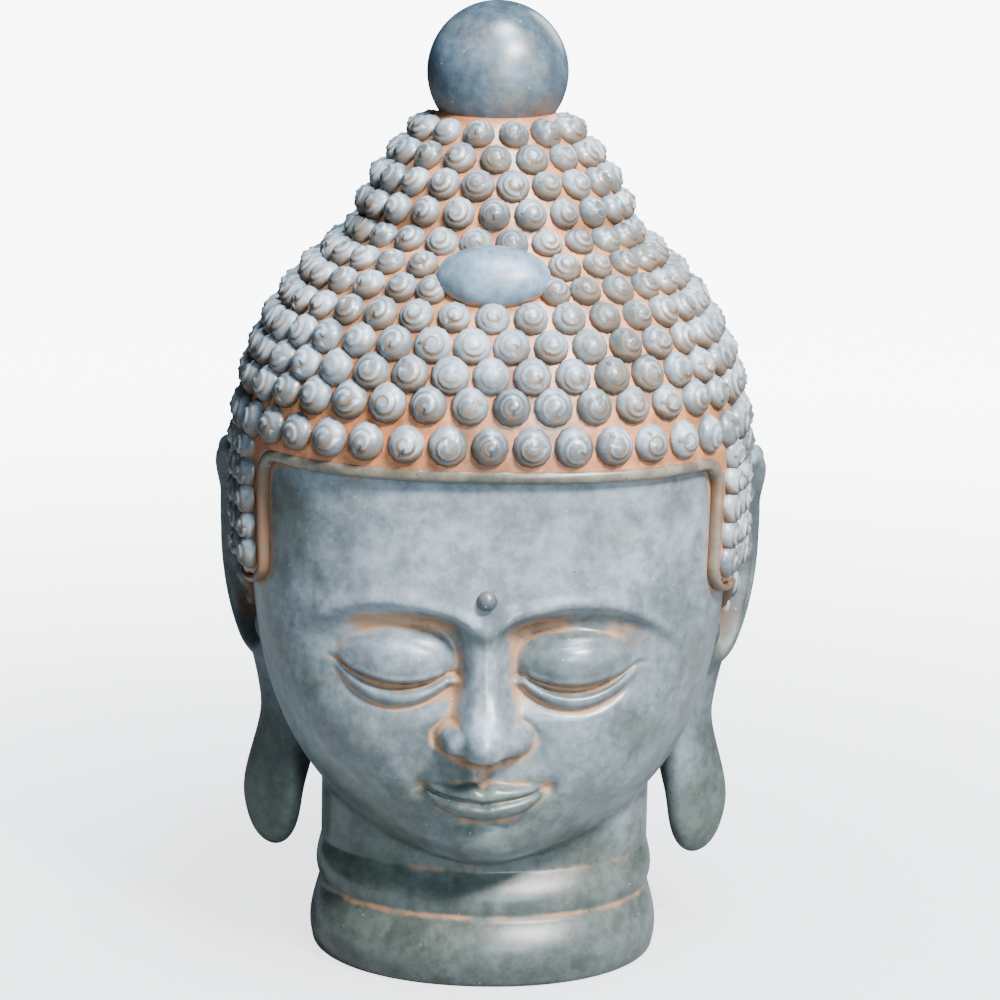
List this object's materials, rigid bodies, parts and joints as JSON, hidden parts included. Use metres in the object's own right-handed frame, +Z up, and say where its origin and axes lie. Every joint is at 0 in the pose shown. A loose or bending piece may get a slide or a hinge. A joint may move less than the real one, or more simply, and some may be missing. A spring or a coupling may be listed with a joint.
{
  "type": "stone buddha head",
  "caption": "Cast stone garden head of a Buddha: calm face, long ears, cap of snail-shell curls, bun with an oval jewel, ball finial and neck cut flat.",
  "frame": {"origin": "middle of the flat underside of the neck, straight below the ball", "axes": "+Z up, the face looks along -Y, +X is the side of the head's own left ear"},
  "size_m": [0.553, 0.5729, 0.952],
  "materials": {
    "cast_stone": "semi-gloss slate blue-grey wash with grey-green and ochre patina, rust in the recesses"
  },
  "bodies": {
    "root": {"buddha_head": "cast_stone"}
  },
  "joints": []
}
